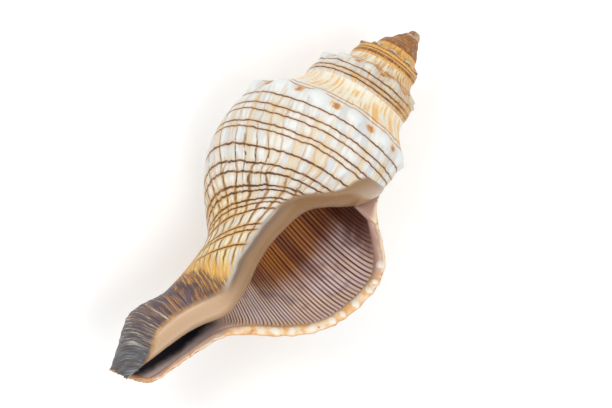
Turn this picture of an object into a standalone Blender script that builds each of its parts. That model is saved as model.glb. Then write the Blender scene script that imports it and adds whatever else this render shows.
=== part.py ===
"""A spired sea shell with a long siphonal canal, lying on its back with its mouth up.

The shell grew as one piece, so it is one closed solid. Its whorls are a curve that turns round an axis
while it shrinks towards the apex. The same curve, set in by the thickness of the wall, makes the hollow
that the mouth opens.

Shell coordinates: "angle" turns backwards from the lip of the mouth, in radians, and one turn is a whorl.
"drop" is the distance below the apex along the axis. "radius" is the distance from the axis. Both are in
millimetres.
"""

import math

import bmesh
import bpy
import numpy as np
from mathutils import Matrix, Vector

MM = 0.001
TURN = 2 * math.pi
NAME = "shell"

# How the whorls shrink in one turn towards the apex
RADIUS_RATIO = 1.56
DROP_RATIO = 1.748
WHORLS = 6
APEX_HEIGHT = 1.4

# The outside of the last whorl: drop below the apex, and radius
TOP_SEAM_DROP = 43.5
LOW_SEAM_DROP = TOP_SEAM_DROP * DROP_RATIO
LOW_SEAM_RADIUS = 34.5
TOP_SEAM_RADIUS = LOW_SEAM_RADIUS / RADIUS_RATIO
WHORL_PROFILE = [
    (TOP_SEAM_DROP, TOP_SEAM_RADIUS),
    (46.5, 22.7),
    (49.5, 24.2),
    (52.5, 26.6),
    (55.5, 29.3),
    (58.5, 31.6),
    (61.5, 33.0),
    (65.0, 34.0),
    (70.0, 34.7),
    (LOW_SEAM_DROP, LOW_SEAM_RADIUS),
    (82.0, 33.6),
    (88.0, 31.8),
    (94.0, 28.3),
    (99.0, 24.1),
    (104.0, 18.6),
    (108.0, 13.5),
    (112.0, 9.2),
    (116.0, 6.0),
    (120.0, 3.8),
    (126.0, 1.4),
    (134.0, 0.0),
]

# The oldest whorls are worn to a smooth cone
WORN_SPIRE_ANGLES = (6 * math.pi, 8 * math.pi)
WORN_SPIRE_SHARE = 0.75

# The lip flares out over the last part of the whorl
FLARE = 0.155
FLARE_ANGLE = 0.75
FLARE_POWER = 1.5
FLARE_TOP = (48.5, 66.5)
FLARE_BOTTOM = (102.0, 119.0)

# Blunt knobs on the shoulder: how many are passed by each angle back from the lip, and where they sit
KNOB_DEGREES = [4, 364, 578, 614, 648, 691, 2203]
KNOB_COUNTS = [0, 12, 19, 20, 21, 22, 64]
KNOB_LEVEL_DEGREES = [0, 130, 200, 300, 540, 690]
KNOB_LEVELS = [58.5, 58.5, 61.5, 60.3, 58.0, 56.8]
KNOB_SPREAD = 4.4
KNOB_HEIGHT = 1.9
KNOB_LOSS_AT_LIP = 0.7
KNOB_SHARPNESS = 1.6

# The neck round the canal: its radius at six angles, each a quarter turn on from the lip
NECK_DROPS = [60, 72, 80, 88, 94, 100, 104, 108, 112, 116.5, 121, 125, 129, 133, 137, 140.6]
NECK_RADII = [
    [14.4, 14.4, 14.4, 14.4, 14.7, 16.6, 17.2, 15.6, 14.5, 13.2, 12.1, 11.2, 10.6, 9.8, 8.5, 7.0],
    [10, 10, 10, 10.3, 10.8, 11.3, 11.4, 11.3, 11.1, 10.9, 10.5, 10, 9.1, 7.9, 5.6, 2.5],
    [6.6, 6.5, 6.3, 6.1, 6.1, 6.0, 5.9, 6.0, 6.4, 8.1, 9.7, 9.8, 8.1, 5.8, 3.3, 0.8],
    [7.5, 7.5, 7.5, 7.8, 8.2, 8.8, 9, 9, 8.8, 8.6, 8.4, 8, 7, 5.5, 3.5, 0.8],
    [7.5, 7.1, 7.0, 8.3, 10.1, 11.0, 11.0, 9.6, 7.5, 5.6, 4.2, 3.2, 2.4, 1.6, 1.0, 0.6],
    [6.6, 6.2, 6.2, 6.6, 7.0, 7.0, 6.6, 6.0, 5.4, 5.0, 4.6, 4.2, 3.6, 2.8, 1.8, 1.0],
]
NECK_BLEND = 8.0
NECK_FADE = (48.0, 62.0)
NECK_FADE_DEPTH = 20.0

# How far the axis strays to the left of a straight line, by drop
AXIS_DROPS = [0, 8, 16, 28, 38, 50, 110, 120, 132, 141]
AXIS_SHIFTS = [-1.0, -1.0, -0.7, -0.4, -0.1, 0, 0, 0, -0.6, -1.2]

# The open end of the canal runs from the lip's corner to the tip
LIP_END_DROP = 134.7
TIP_DROP = 140.6
COLUMELLA_END_DROP = 139.6

# Enamel laid over the wall beside the mouth: where its edge runs, and how thick it is
ENAMEL_THICKNESS = 0.8
ENAMEL_EDGE_DROPS = [44, 46, 48.6, 51.3, 56.7, 60.9, 65.4, 69.4, 75.6, 84, 92.5, 97.3]
ENAMEL_EDGE_DROPS += [101, 105, 111, 117.4, 124, 130, 135]
ENAMEL_EDGE_DEGREES = [350, 337, 317, 310, 308, 302, 290, 282, 280, 284, 290, 299]
ENAMEL_EDGE_DEGREES += [303, 297, 283, 269, 266, 276, 292]
ENAMEL_EDGE_WIDTH = 0.12
ENAMEL_TOP_FADE = 3.0

# Thickness of the wall at the lip's edge, by drop, and inside
LIP_DROPS = [50, 54, 58, 62, 70, 90, 104, 110, 125, 135]
LIP_THICKNESSES = [3.0, 2.7, 2.7, 2.8, 3.0, 3.1, 3.0, 2.4, 1.8, 1.6]
LIP_BEVEL_ANGLE = 0.035
WALL_THICKNESS = 2.4
CANAL_WALL_THICKNESS = 1.8
CANAL_WALL_DROPS = (98.0, 112.0)
LIP_TO_WALL_ANGLE = 0.4

# The hollow: the drop of its bottom at each angle back from the mouth. Up to the canal's end angle it
# runs out open
MOUTH_TOP_DROP = 54.0
CANAL_END_DEGREES = 56
FLOOR_DEGREES = [0, 40, CANAL_END_DEGREES, 60, 65, 71, 78, 87, 98, 111, 133, 177, 222, 280, 340, 400]
FLOOR_DROPS = [220, 165, 141, 132, 124, 117.5, 112, 107.5, 104, 100, 94, 85.5, 79, 73, 68, 63.5]
FLOOR_ROUND = 12.0
WHORL_MIDDLE_DROP = 90.0

# Mesh resolution
COLUMNS_PER_TURN = 60
SEAM_ROWS = 6
WALL_ROWS = 3
NECK_ROWS = 18
HOLLOW_ROWS = 11
SMALLEST_STEP = 0.5
SLOT_DROPS = [98, 101, 104, 107, 110.5, 114, 118, 122, 126, 130.5]
RING_DEGREES = [0, 9, 19, 29, 38, 47, CANAL_END_DEGREES, 60, 65, 71, 78, 87, 98] + list(range(109, 397, 11))
DENSE = 500

# How the shell lies: turned about its long axis, then nosed down, and worn flat where it rests
ROLL = math.radians(-8)
PITCH = math.radians(-3.5)
WORN_DEPTH = 0.35

# Edges sharper than this are shaded sharp
SHARP_EDGE = math.radians(45)


def smooth_step(x, low, high):
    t = np.clip((np.asarray(x, float) - low) / (high - low), 0, 1)
    return t * t * (3 - 2 * t)


def smooth_curve(x, knots, values):
    """A cubic curve through the knots, level beyond its ends."""
    knots, values = np.asarray(knots, float), np.asarray(values, float)
    slopes = np.gradient(values, knots)
    x = np.clip(x, knots[0], knots[-1])
    i = np.clip(np.searchsorted(knots, x, side="right") - 1, 0, len(knots) - 2)
    width = knots[i + 1] - knots[i]
    t = (x - knots[i]) / width
    return (
        values[i] * (1 + 2 * t) * (1 - t) ** 2
        + values[i + 1] * t * t * (3 - 2 * t)
        + slopes[i] * width * t * (1 - t) ** 2
        - slopes[i + 1] * width * t * t * (1 - t)
    )


def radius_scale(angle):
    return RADIUS_RATIO ** (-angle / TURN)


def drop_scale(angle):
    return DROP_RATIO ** (-angle / TURN)


def neck_radius(angle, drop):
    """The radius of the neck, and of the pillar that carries on inside, through the six meridians."""
    inner = np.maximum(angle - 1.25 * TURN, 0)
    drop = drop / drop_scale(inner)
    meridians = np.array([smooth_curve(drop, NECK_DROPS, row) for row in NECK_RADII])
    last = len(NECK_RADII) - 1
    place = np.clip(angle / (TURN / 4), 0, last)
    i = np.clip(np.floor(place).astype(int), 0, last - 1)
    t = place - i
    near = [np.clip(i + k, 0, last)[None] for k in (-1, 0, 1, 2)]
    a, b, c, d = (np.take_along_axis(meridians, n, 0)[0] for n in near)
    curve = b + 0.5 * t * (c - a + t * (2 * a - 5 * b + 4 * c - d + t * (3 * (b - c) + d - a)))
    return curve * radius_scale(inner)


def enamel(angle, drop):
    """Thickness of the enamel beside the mouth."""
    edge = np.radians(smooth_curve(drop, ENAMEL_EDGE_DROPS, ENAMEL_EDGE_DEGREES))
    across = smooth_step(angle - edge, -ENAMEL_EDGE_WIDTH, ENAMEL_EDGE_WIDTH)
    return ENAMEL_THICKNESS * across * smooth_step(drop, TOP_SEAM_DROP, TOP_SEAM_DROP + ENAMEL_TOP_FADE)


def outer_radius(angle, drop, knobs=True):
    """The outside of the shell. The neck fills in where the whorl above it has closed."""
    angle, drop = np.broadcast_arrays(np.asarray(angle, float), np.asarray(drop, float))
    size = radius_scale(angle)
    level = drop / drop_scale(angle)
    profile_drops, profile_radii = zip(*WHORL_PROFILE)
    profile = smooth_curve(level, profile_drops, profile_radii)
    worn = WORN_SPIRE_SHARE * smooth_step(angle, *WORN_SPIRE_ANGLES)
    cone = np.interp(level, [TOP_SEAM_DROP, LOW_SEAM_DROP], [TOP_SEAM_RADIUS, LOW_SEAM_RADIUS])
    lip = np.exp(-np.abs(angle / FLARE_ANGLE) ** FLARE_POWER)
    reach = smooth_step(level, *FLARE_TOP) * (1 - smooth_step(level, *FLARE_BOTTOM))
    whorl = size * (profile + (cone - profile) * worn) * (1 + FLARE * reach * lip)
    if knobs:
        passed = np.interp(np.degrees(angle), KNOB_DEGREES, KNOB_COUNTS)
        crest = (0.5 + 0.5 * np.cos(TURN * passed)) ** KNOB_SHARPNESS
        height = KNOB_HEIGHT * size * (1 - worn) * (1 - KNOB_LOSS_AT_LIP * lip)
        centre = np.interp(np.degrees(angle), KNOB_LEVEL_DEGREES, KNOB_LEVELS)
        whorl = whorl + height * crest * np.exp(-(((level - centre) / KNOB_SPREAD) ** 2))
    neck = neck_radius(angle, drop) - NECK_FADE_DEPTH * (1 - smooth_step(drop, *NECK_FADE))
    closeness = np.maximum(NECK_BLEND - np.abs(whorl - neck), 0) / NECK_BLEND
    return np.maximum(whorl, neck) + NECK_BLEND / 4 * closeness**2 + enamel(angle, drop)


def wall_thickness(angle, drop):
    lip = smooth_curve(drop, LIP_DROPS, LIP_THICKNESSES)
    canal = smooth_step(drop, *CANAL_WALL_DROPS)
    inside = WALL_THICKNESS * radius_scale(angle) * (1 - canal) + CANAL_WALL_THICKNESS * canal
    deep = smooth_step(angle, 0, LIP_TO_WALL_ANGLE)
    return lip * (1 - deep) + inside * deep


def end_drop(angle):
    """The end of the canal, from the lip's corner round to the tip and back to the pillar."""
    rise = LIP_END_DROP + (TIP_DROP - LIP_END_DROP) * np.sin(np.clip(angle, 0, TURN / 2) / 2)
    back = COLUMELLA_END_DROP - TIP_DROP
    rise = rise + back * smooth_step(angle, 0.75 * TURN, TURN)
    inner_end = LIP_END_DROP + (TIP_DROP - LIP_END_DROP) * math.sin(math.radians(CANAL_END_DEGREES) / 2)
    inner = smooth_step(angle - TURN, 0, math.radians(CANAL_END_DEGREES))
    return rise * (1 - inner) + inner_end * inner


def hollow_section(angle):
    """(drops, outer radii, inner radii) of the hollow at this angle back from the lip, on close points."""
    drop = np.linspace(TOP_SEAM_DROP * float(drop_scale(angle)), float(end_drop(angle)) + 3, DENSE)
    outside = outer_radius(angle, drop, knobs=False)
    slope = np.gradient(outside, drop)
    length = np.sqrt(1 + slope**2)
    wall = wall_thickness(angle, drop)
    inset_drop = drop + wall * slope / length
    inset_radius = outside - wall / length
    order = np.argsort(inset_drop)
    outer = np.interp(drop, inset_drop[order], inset_radius[order])
    inner = outer_radius(TURN + angle, drop)
    floor = float(smooth_curve(math.degrees(angle), FLOOR_DEGREES, FLOOR_DROPS))
    share = np.clip(1 + (drop - floor) / FLOOR_ROUND, 0, 1) ** 2
    inner = inner + (outer - inner) * share
    return drop, outer, np.where(drop >= floor, outer, inner)


def mouth_range(angle, drop, gap):
    """The top and bottom drop of the hollow's section, where its two sides meet."""
    middle = int(np.argmax(np.where(drop < WHORL_MIDDLE_DROP * float(drop_scale(angle)), gap, -1)))
    top = middle
    while top > 0 and gap[top - 1] > 0:
        top -= 1
    low = middle
    while low < len(drop) - 1 and gap[low + 1] > 0:
        low += 1
    top_drop = drop[0] if top == 0 else np.interp(0, [gap[top - 1], gap[top]], [drop[top - 1], drop[top]])
    if low == len(drop) - 1:
        return top_drop, drop[-1]
    return top_drop, np.interp(0, [-gap[low], -gap[low + 1]], [drop[low], drop[low + 1]])


def spaced(drop, radius, first, last, count):
    """count + 1 drops from first to last, evenly spaced along the curve of radius over drop."""
    fine = np.linspace(first, last, DENSE)
    along = np.interp(fine, drop, radius)
    length = np.concatenate([[0], np.cumsum(np.hypot(np.diff(fine), np.diff(along)))])
    return np.interp(np.linspace(0, length[-1], count + 1), length, fine)


class ShellMesh:
    """Points and faces, gathered sheet by sheet."""

    def __init__(self):
        self.points = []
        self.faces = []

    def add(self, angle, drop, radius):
        """A point of the shell, in millimetres: +X to the lip, +Y to the apex, +Z out of the mouth."""
        shift = float(smooth_curve(drop, AXIS_DROPS, AXIS_SHIFTS))
        self.points.append((radius * math.cos(angle) + shift, -drop, -radius * math.sin(angle)))
        return len(self.points) - 1

    def drops(self, row):
        return [-self.points[i][1] for i in row]

    def sheet(self, grid):
        for left, right in zip(grid, grid[1:]):
            for i in range(len(left) - 1):
                corners = [left[i], right[i], right[i + 1], left[i + 1]]
                corners = [c for n, c in enumerate(corners) if c != corners[n - 1]]
                if len(set(corners)) > 2:
                    self.faces.append(corners)

    def strip(self, first, second, first_at, second_at):
        """Triangles between two rows of points. first_at and second_at say how far along each point is."""
        i = j = 0
        while i < len(first) - 1 or j < len(second) - 1:
            first_left, second_left = i < len(first) - 1, j < len(second) - 1
            step_first = not second_left or (first_left and first_at[i + 1] <= second_at[j + 1])
            corners = [first[i], first[i + 1] if step_first else second[j + 1], second[j]]
            if len(set(corners)) == 3:
                self.faces.append(corners)
            if step_first:
                i += 1
            else:
                j += 1

    def fan(self, loop, centre):
        for a, b in zip(loop, loop[1:] + loop[:1]):
            self.faces.append([a, b, centre])


def add_whorls(mesh):
    """The outside, from the lip back to the apex. Returns the spire's grid and the grid below the seam."""
    columns = int(COLUMNS_PER_TURN * WHORLS)
    levels = spaced(*map(np.array, zip(*WHORL_PROFILE)), TOP_SEAM_DROP, LOW_SEAM_DROP, SEAM_ROWS)
    spire = []
    for column in range(columns + 1):
        angle = column * TURN / COLUMNS_PER_TURN
        drops = levels * float(drop_scale(angle))
        radii = outer_radius(angle, drops)
        row = [mesh.add(angle, d, r) for d, r in zip(drops[:-1], radii[:-1])]
        if column < COLUMNS_PER_TURN:
            row.append(mesh.add(angle, drops[-1], radii[-1]))
        else:
            row.append(spire[column - COLUMNS_PER_TURN][0])
        spire.append(row)
    mesh.sheet(spire)
    mouth_level = MOUTH_TOP_DROP / float(drop_scale(TURN))
    body = []
    for column in range(COLUMNS_PER_TURN + 1):
        angle = column * TURN / COLUMNS_PER_TURN
        size = float(drop_scale(angle))
        wall = np.linspace(LOW_SEAM_DROP, mouth_level, WALL_ROWS + 1)[1:] * size
        fine = np.linspace(wall[-1], float(end_drop(angle)), DENSE)
        neck = spaced(fine, outer_radius(angle, fine), fine[0], fine[-1], NECK_ROWS)[1:]
        drops = np.concatenate([wall, neck])
        radii = outer_radius(angle, drops)
        body.append([spire[column][-1]] + [mesh.add(angle, d, r) for d, r in zip(drops, radii)])
    mesh.sheet(body)
    return spire, body


def hollow_row(mesh, angle, drop, radius, top_point, low_point, top, low):
    """Points down one side of the hollow, at the same drops from ring to ring below the mouth."""
    drops = list(spaced(drop, radius, top, min(low, SLOT_DROPS[0]), HOLLOW_ROWS)[1:]) + SLOT_DROPS[1:]
    above = [d for d in drops if d < low - SMALLEST_STEP]
    row = [top_point] + [mesh.add(angle, d, float(np.interp(d, drop, radius))) for d in above]
    return row + [low_point] * (len(drops) + 2 - len(row))


def add_hollow(mesh, pillar):
    """The inside of the last whorl. pillar is the column the outside ends in, below the mouth's top."""
    outer_grid, inner_grid = [], []
    for degrees in RING_DEGREES:
        angle = math.radians(degrees)
        drop, outer, inner = hollow_section(angle)
        top, low = mouth_range(angle, drop, outer - inner)
        at = max(angle, LIP_BEVEL_ANGLE)
        is_open = degrees < CANAL_END_DEGREES
        if degrees <= CANAL_END_DEGREES:
            low = float(end_drop(angle))
        if degrees == 0:
            top, top_point = MOUTH_TOP_DROP, pillar[0]
        else:
            top_point = mesh.add(angle, top, float(np.interp(top, drop, inner)))
        low_point = mesh.add(at, low, float(np.interp(low, drop, outer)))
        outer_grid.append(hollow_row(mesh, at, drop, outer, top_point, low_point, top, low))
        if degrees == 0:
            inner_grid.append(pillar)
            continue
        if is_open:
            low = float(end_drop(TURN + angle))
            low_point = mesh.add(angle, low, float(np.interp(low, drop, inner)))
        inner_grid.append(hollow_row(mesh, angle, drop, inner, top_point, low_point, top, low))
    mesh.sheet(outer_grid)
    mesh.strip(pillar, inner_grid[1], mesh.drops(pillar), mesh.drops(inner_grid[1]))
    mesh.sheet(inner_grid[1:])
    loop = list(dict.fromkeys(outer_grid[-1] + inner_grid[-1][::-1]))
    middle = np.mean([mesh.points[i] for i in loop], axis=0)
    mesh.points.append(tuple(middle))
    mesh.fan(loop, len(mesh.points) - 1)
    return outer_grid, inner_grid


def shell_mesh():
    mesh = ShellMesh()
    spire, body = add_whorls(mesh)
    pillar = body[-1][WALL_ROWS:]
    outer_grid, inner_grid = add_hollow(mesh, pillar)
    lip = spire[0] + body[0][1:]
    mouth = body[-1][:WALL_ROWS] + outer_grid[0]
    mesh.strip(lip, mouth, mesh.drops(lip), mesh.drops(mouth))
    shut = RING_DEGREES.index(CANAL_END_DEGREES)
    end_outside = [row[-1] for row in body]
    end_inside = [row[-1] for row in outer_grid[: shut + 1]]
    end_inside += [row[-1] for row in inner_grid[shut - 1 :: -1]]
    mesh.strip(
        end_outside,
        end_inside,
        np.linspace(0, 1, len(end_outside)),
        np.linspace(0, 1, len(end_inside)),
    )
    ring = [row[0] for row in spire[-COLUMNS_PER_TURN - 1 :]] + spire[-1][1:-1]
    tip = np.mean([mesh.points[i] for i in ring], axis=0)
    mesh.points.append((tip[0], tip[1] + APEX_HEIGHT, tip[2]))
    mesh.fan(ring, len(mesh.points) - 1)
    return mesh


def add_shell(collection):
    made = shell_mesh()
    data = bpy.data.meshes.new(NAME)
    data.from_pydata([Vector(p) * MM for p in made.points], [], made.faces)
    data.update()
    body = bmesh.new()
    body.from_mesh(data)
    bmesh.ops.recalc_face_normals(body, faces=body.faces)
    turn = Matrix.Rotation(PITCH, 4, "X") @ Matrix.Rotation(ROLL, 4, "Y")
    bmesh.ops.transform(body, matrix=turn, verts=body.verts)
    lows = [min(v.co[k] for v in body.verts) for k in range(3)]
    highs = [max(v.co[k] for v in body.verts) for k in range(3)]
    middle = Vector(((lows[0] + highs[0]) / 2, (lows[1] + highs[1]) / 2, lows[2] + WORN_DEPTH * MM))
    bmesh.ops.translate(body, vec=-middle, verts=body.verts)
    everything = body.verts[:] + body.edges[:] + body.faces[:]
    bmesh.ops.bisect_plane(body, geom=everything, plane_co=(0, 0, 0), plane_no=(0, 0, -1), clear_outer=True)
    bmesh.ops.holes_fill(body, edges=[e for e in body.edges if e.is_boundary])
    body.to_mesh(data)
    body.free()
    shell = bpy.data.objects.new(NAME, data)
    collection.objects.link(shell)
    data.shade_smooth()
    data.set_sharp_from_angle(angle=SHARP_EDGE)
    return shell


def add_material(shell):
    material = bpy.data.materials.new("shell")
    material.use_nodes = True
    surface = material.node_tree.nodes["Principled BSDF"]
    surface.inputs["Base Color"].default_value = (0.76, 0.68, 0.55, 1)
    surface.inputs["Roughness"].default_value = 0.4
    surface.inputs["Metallic"].default_value = 0
    shell.data.materials.append(material)


def main():
    for old in list(bpy.data.objects):
        bpy.data.objects.remove(old)
    collection = bpy.data.collections.new("conch_shell")
    bpy.context.scene.collection.children.link(collection)
    shell = add_shell(collection)
    add_material(shell)


main()
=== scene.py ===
"""A knobbed sea shell with a long canal, lying on its back with its mouth up: its shape, colours and gloss.

Shell coordinates: "angle" turns backwards from the lip of the mouth, in radians, and one turn is a whorl.
"drop" is the distance below the apex along the axis. "radius" is the distance from the axis. Both are in
millimetres. "level" is the drop as it was when that part of the shell was the lip, so that a line at one
level runs round the whorls as the shell grew.
"""

import math
from functools import reduce

import bpy
import numpy as np
from mathutils import Matrix, Vector


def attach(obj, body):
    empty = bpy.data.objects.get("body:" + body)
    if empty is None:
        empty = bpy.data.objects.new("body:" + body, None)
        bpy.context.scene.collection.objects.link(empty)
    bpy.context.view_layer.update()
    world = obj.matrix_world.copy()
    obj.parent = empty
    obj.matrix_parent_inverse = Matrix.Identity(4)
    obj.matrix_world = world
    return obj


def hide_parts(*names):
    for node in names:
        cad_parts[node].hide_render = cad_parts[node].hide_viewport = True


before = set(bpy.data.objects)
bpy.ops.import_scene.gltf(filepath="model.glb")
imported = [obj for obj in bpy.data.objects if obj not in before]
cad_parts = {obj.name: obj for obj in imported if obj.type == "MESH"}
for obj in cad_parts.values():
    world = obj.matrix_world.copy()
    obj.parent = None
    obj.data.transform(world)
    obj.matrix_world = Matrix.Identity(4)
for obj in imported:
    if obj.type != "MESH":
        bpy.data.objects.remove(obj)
bpy.ops.object.select_all(action="DESELECT")
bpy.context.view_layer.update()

MM = 0.001
TURN = 2 * math.pi

# How the whorls shrink in one turn towards the apex
RADIUS_RATIO = 1.56
DROP_RATIO = 1.748
WHORLS = 6
APEX_HEIGHT = 1.4

# The outside of the last whorl: drop below the apex, and radius
TOP_SEAM_DROP = 43.5
LOW_SEAM_DROP = TOP_SEAM_DROP * DROP_RATIO
LOW_SEAM_RADIUS = 34.5
TOP_SEAM_RADIUS = LOW_SEAM_RADIUS / RADIUS_RATIO
WHORL_DROPS = [TOP_SEAM_DROP, 46.5, 49.5, 52.5, 55.5, 58.5, 61.5, 65, 70, LOW_SEAM_DROP]
WHORL_DROPS += [82, 88, 94, 99, 104, 108, 112, 116, 120, 126, 134]
WHORL_RADII = [TOP_SEAM_RADIUS, 22.7, 24.2, 26.6, 29.3, 31.6, 33, 34, 34.7, LOW_SEAM_RADIUS]
WHORL_RADII += [33.6, 31.8, 28.3, 24.1, 18.6, 13.5, 9.2, 6, 3.8, 1.4, 0]

# The oldest whorls are worn to a smooth cone
WORN_SPIRE_ANGLES = (6 * math.pi, 8 * math.pi)
WORN_SPIRE_SHARE = 0.75

# The lip flares out over the last part of the whorl
FLARE = 0.155
FLARE_ANGLE = 0.75
FLARE_POWER = 1.5
FLARE_TOP = (48.5, 66.5)
FLARE_BOTTOM = (102.0, 119.0)

# Blunt knobs on the shoulder: how many are passed by each angle back from the lip, and where they sit
KNOB_DEGREES = [4, 364, 578, 614, 648, 691, 2203]
KNOB_COUNTS = [0, 12, 19, 20, 21, 22, 64]
KNOB_LEVEL_DEGREES = [0, 130, 200, 300, 540, 690]
KNOB_LEVELS = [58.5, 58.5, 61.5, 60.3, 58.0, 56.8]
KNOB_SPREAD = 4.4
KNOB_HEIGHT = 1.9
KNOB_LOSS_AT_LIP = 0.7
KNOB_SHARPNESS = 1.6

# The neck round the canal: its radius at six angles, each a quarter turn on from the lip
NECK_DROPS = [60, 72, 80, 88, 94, 100, 104, 108, 112, 116.5, 121, 125, 129, 133, 137, 140.6]
NECK_RADII = [
    [14.4, 14.4, 14.4, 14.4, 14.7, 16.6, 17.2, 15.6, 14.5, 13.2, 12.1, 11.2, 10.6, 9.8, 8.5, 7.0],
    [10, 10, 10, 10.3, 10.8, 11.3, 11.4, 11.3, 11.1, 10.9, 10.5, 10, 9.1, 7.9, 5.6, 2.5],
    [6.6, 6.5, 6.3, 6.1, 6.1, 6.0, 5.9, 6.0, 6.4, 8.1, 9.7, 9.8, 8.1, 5.8, 3.3, 0.8],
    [7.5, 7.5, 7.5, 7.8, 8.2, 8.8, 9, 9, 8.8, 8.6, 8.4, 8, 7, 5.5, 3.5, 0.8],
    [7.5, 7.1, 7.0, 8.3, 10.1, 11.0, 11.0, 9.6, 7.5, 5.6, 4.2, 3.2, 2.4, 1.6, 1.0, 0.6],
    [6.6, 6.2, 6.2, 6.6, 7.0, 7.0, 6.6, 6.0, 5.4, 5.0, 4.6, 4.2, 3.6, 2.8, 1.8, 1.0],
]
NECK_BLEND = 8.0
NECK_FADE = (48.0, 62.0)
NECK_FADE_DEPTH = 20.0

# Past this angle the neck carries on inside as the pillar, and shrinks
PILLAR_ANGLE = 1.25 * TURN

# How far the axis strays to the left of a straight line, by drop
AXIS_DROPS = [0, 8, 16, 28, 38, 50, 110, 120, 132, 141]
AXIS_SHIFTS = [-1.0, -1.0, -0.7, -0.4, -0.1, 0, 0, 0, -0.6, -1.2]

# The open end of the canal runs from the lip's corner to the tip
LIP_END_DROP = 134.7
TIP_DROP = 140.6
COLUMELLA_END_DROP = 139.6

# Enamel laid over the wall beside the mouth: where its edge runs, and how thick it is
ENAMEL_THICKNESS = 0.8
ENAMEL_EDGE_DROPS = [44, 46, 48.6, 51.3, 56.7, 60.9, 65.4, 69.4, 75.6, 84, 92.5, 97.3]
ENAMEL_EDGE_DROPS += [101, 105, 111, 117.4, 124, 130, 135]
ENAMEL_EDGE_DEGREES = [350, 337, 317, 310, 308, 302, 290, 282, 280, 284, 290, 299]
ENAMEL_EDGE_DEGREES += [303, 297, 283, 269, 266, 276, 292]
ENAMEL_EDGE_WIDTH = 0.12
ENAMEL_TOP_FADE = 3.0

# How far from that edge the finishes can tell, in millimetres off the enamel and on it
BESIDE_LIMITS = (-10, 30)

# Thickness of the wall at the lip's edge, by drop, and inside
LIP_DROPS = [50, 54, 58, 62, 70, 90, 104, 110, 125, 135]
LIP_THICKNESSES = [3.0, 2.7, 2.7, 2.8, 3.0, 3.1, 3.0, 2.4, 1.8, 1.6]
LIP_BEVEL_ANGLE = 0.035
WALL_THICKNESS = 2.4
CANAL_WALL_THICKNESS = 1.8
CANAL_WALL_DROPS = (98.0, 112.0)
LIP_TO_WALL_ANGLE = 0.4

# The hollow: the drop of its bottom at each angle back from the mouth. Up to the canal's end angle it
# runs out open
MOUTH_TOP_DROP = 54.0
CANAL_END_DEGREES = 56
CANAL_END_ANGLE = math.radians(CANAL_END_DEGREES)
FLOOR_DEGREES = [0, 40, CANAL_END_DEGREES, 60, 65, 71, 78, 87, 98, 111, 133, 177, 222, 280, 340, 400]
FLOOR_DROPS = [220, 165, 141, 132, 124, 117.5, 112, 107.5, 104, 100, 94, 85.5, 79, 73, 68, 63.5]
FLOOR_ROUND = 12.0
WHORL_MIDDLE_DROP = 90.0

# Finer relief: beads on the knobs, the lip's waves and rounding, the canal's broken end and its ridges
BEAD_HEIGHT = 0.9
OLD_BEAD_GAIN = 1.5
BEAD_SPREAD = 3.0
BEAD_SHARPNESS = 3.0
BEAD_START = (0.3, 1.0)
BEAD_END = (16, 22)
OLD_BEAD_ANGLES = (5.5, 7.5)
SCALLOP_LENGTH = 5.0
SCALLOP_HEIGHT = 0.3
SCALLOP_ANGLE = 0.045
RAGGED_END = 0.45
LIP_ROUND = 1.15
LIP_ROUND_DROPS = (43.5, 60.0)
LIP_ROUND_WAVE = 0.25
LIP_SQUARE_TOP = (50, 62)
LIP_SQUARE_END = (126, LIP_END_DROP)
LAMELLA_DROPS = (108.0, 122.0)
LAMELLA_START = (0.1, 0.6)
LAMELLA_HEIGHT = 0.12
LAMELLA_SPACING = 3.4
RIDGE_ARC = 56.0
RIDGE_ROUND = 0.002
RIDGE_SLOPE_DROPS = (112.0, 136.0)
RIDGE_SLOPES = (0.35, -0.65)

# Ribs that line the mouth, from its top corner to the canal
RIB_SPACINGS = (1.45, 1.2)
RIB_SPACING_DROPS = (62.0, 92.0)
RIB_HEIGHT = 0.2
RIB_SHARPNESS = 1.4
RIB_FADE = 2
RIB_START = (0.8, 3.0)
RIB_END_LEVELS = (106.0, 112.0)

# Fineness of the finished surface
COLUMNS_PER_TURN = 240
SEAM_ROWS = 18
WALL_ROWS = 12
NECK_ROWS = 84
LINING_STEP = 0.22
LINING_CANAL_STEP = 1.0
LINING_CANAL_LEVEL = 112.0
PILLAR_ROWS = 64
RIM_ROWS = 10
DOME_ROWS = 8
DOME_ROUND = (0.55, 0.9)
SMALLEST_STEP = 0.05
DENSE = 900
RING_DEGREES = [0, 4.5, 8, 11.5, 15, 19, 23, 27, 31, 35, 39, 43.5, 48, 52, CANAL_END_DEGREES, 58, 60, 62.5]
RING_DEGREES += [65, 68, 71, 74.5, 78, 82, 87, 92, 98, *range(104, 180, 6), *range(180, 398, 12)]
MERGE_DISTANCE = 0.004
MARKS = ("growth", "place", "relief")

# How the shell lies: turned about its long axis, then nosed down, with its middle over the origin
LIE = Matrix.Rotation(math.radians(-3.5), 4, "X") @ Matrix.Rotation(math.radians(-8), 4, "Y")
LIE_MIDDLE = Vector((6.0369, -70.5173, -26.8753))

# The photograph's view: it looks down on the mouth, 15.4 degrees off the square, with the shell's axis aslant
PHOTO_WIDTH = 612
PHOTO_MM_PER_PIXEL = 0.2972
PHOTO_TILT = math.radians(15.4)
PHOTO_SLANT = (0.7523, 0.6588)
TO_LIP = Vector((1, 0, 0))
ALONG = Vector((0, math.cos(PHOTO_TILT), math.sin(PHOTO_TILT)))
OUTWARD = Vector((0, -math.sin(PHOTO_TILT), math.cos(PHOTO_TILT)))
PHOTO_AIM = 7.77 * TO_LIP - 60.86 * ALONG + 18.6 * OUTWARD
PHOTO_TOWARD = LIE.to_3x3() @ OUTWARD
PHOTO_RIGHT = LIE.to_3x3() @ (PHOTO_SLANT[0] * TO_LIP + PHOTO_SLANT[1] * ALONG)
PHOTO_UP = LIE.to_3x3() @ (PHOTO_SLANT[0] * ALONG - PHOTO_SLANT[1] * TO_LIP)
CAMERA_DISTANCE = 2300
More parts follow.
